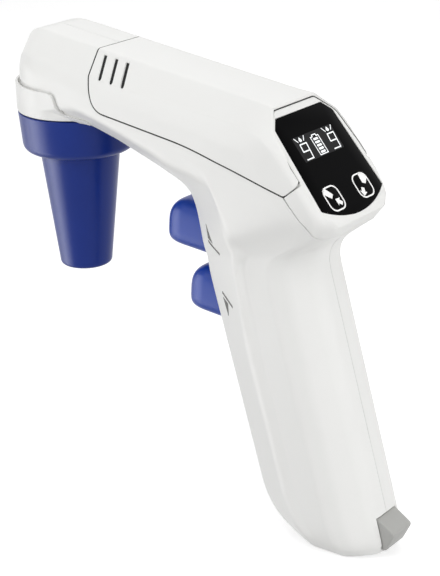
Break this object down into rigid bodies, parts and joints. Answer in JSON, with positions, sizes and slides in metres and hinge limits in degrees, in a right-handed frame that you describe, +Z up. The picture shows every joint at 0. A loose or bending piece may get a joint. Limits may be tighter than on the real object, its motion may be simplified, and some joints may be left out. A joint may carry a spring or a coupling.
{
  "type": "pipette controller",
  "caption": "Hand-held motor pump for serological pipettes: pistol grip with sliding triggers, screw-on nose cone, sloped display with keys and hinged charging-port cover.",
  "frame": {"origin": "bottom centre of the bounding box, at the height of the flat sole of the grip", "axes": "+X from the nose towards the display, +Z up along the nose axis, +Y to the right-hand side seen from behind"},
  "size_m": [0.1594, 0.0432, 0.1662],
  "materials": {
    "white_abs": "satin moulded",
    "black_gloss": "gloss",
    "lcd_glass": "gloss",
    "black_key": "satin",
    "blue_nose": "satin moulded",
    "blue_trigger": "gloss",
    "silicone": "matte",
    "grey_silicone": "matte",
    "steel": "brushed",
    "board_green": "solder mask",
    "chip_black": "matte",
    "natural_nylon": "matte",
    "cell_wrap": "shrink film"
  },
  "bodies": {
    "aspirate_slide": {"aspirate_trigger": "blue_trigger", "aspirate_stem": "steel", "aspirate_stem_seal": "silicone"},
    "dispense_slide": {"dispense_trigger": "blue_trigger", "dispense_stem": "steel", "dispense_stem_seal": "silicone"},
    "aspirate_button": {"aspirate_key": "black_key"},
    "dispense_button": {"dispense_key": "black_key"},
    "nose": {"nose_cone": "blue_nose"},
    "nose_carrier": {"pipette_holder": "silicone", "membrane_filter": "natural_nylon"},
    "eccentric": {"pump_eccentric": "steel"},
    "port_cover": {"charging_port_cover": "grey_silicone"},
    "controller": {"aspirate_spring": "steel", "aspirate_switch": "chip_black", "battery_cell": "cell_wrap", "battery_holder": "chip_black", "board_connector": "chip_black", "board_screw_1": "steel", "board_screw_2": "steel", "board_screw_3": "steel", "board_screw_4": "steel", "charge_board": "board_green", "charging_pin": "steel", "charging_socket": "chip_black", "control_board": "board_green", "control_chip": "chip_black", "dispense_spring": "steel", "dispense_switch": "chip_black", "display_bezel": "white_abs", "display_window": "black_gloss", "filter_seal": "silicone", "housing_screw_1": "steel", "housing_screw_2": "steel", "housing_screw_3": "steel", "housing_screw_4": "steel", "housing_screw_5": "steel", "lcd_module": "lcd_glass", "left_housing": "white_abs", "lower_contact": "steel", "lower_sensor": "chip_black", "nose_spigot": "white_abs", "nose_tube": "silicone", "pressure_tube": "silicone", "pump_bracket": "natural_nylon", "pump_head": "chip_black", "pump_motor": "steel", "right_housing": "white_abs", "suction_tube": "silicone", "top_cover": "white_abs", "upper_contact": "steel", "upper_sensor": "chip_black", "valve_block": "natural_nylon"}
  },
  "joints": [
    {"name": "aspirate_trigger_slide", "type": "slide", "parent": "controller", "child": "aspirate_slide", "axis": [0.9962, 0, -0.0872], "range_m": [0, 0.005], "stiffness_N_per_m": 400, "springref_m": -0.002, "deforming": ["aspirate_spring"]},
    {"name": "dispense_trigger_slide", "type": "slide", "parent": "controller", "child": "dispense_slide", "axis": [0.9962, 0, -0.0872], "range_m": [0, 0.005], "stiffness_N_per_m": 400, "springref_m": -0.002, "deforming": ["dispense_spring"]},
    {"name": "aspirate_key_press", "type": "slide", "parent": "controller", "child": "aspirate_button", "axis": [-0.7749, 0, -0.632], "range_m": [0, 0.0004], "stiffness_N_per_m": 1500, "springref_m": -0.0003},
    {"name": "dispense_key_press", "type": "slide", "parent": "controller", "child": "dispense_button", "axis": [-0.7749, 0, -0.632], "range_m": [0, 0.0004], "stiffness_N_per_m": 1500, "springref_m": -0.0003},
    {"name": "nose_unscrew", "type": "hinge", "parent": "nose_carrier", "child": "nose", "pos_m": [-0.05809, 0, 0.078], "axis": [0, 0, 1], "range_deg": [0, 720]},
    {"name": "nose_travel", "type": "slide", "parent": "controller", "child": "nose_carrier", "axis": [0, 0, -1], "range_m": [0, 0.006]},
    {"name": "eccentric_spin", "type": "hinge", "parent": "controller", "child": "eccentric", "pos_m": [-0.01159, 0, 0.1425], "axis": [1, 0, 0], "continuous": true},
    {"name": "port_cover_hinge", "type": "hinge", "parent": "controller", "child": "port_cover", "pos_m": [0.07331, 0, 0.01444], "axis": [0, -1, 0], "range_deg": [0, 100]}
  ],
  "couplings": [
    {"joint": "nose_travel", "follows": "nose_unscrew", "m_per_rad": 0.00047746}
  ]
}
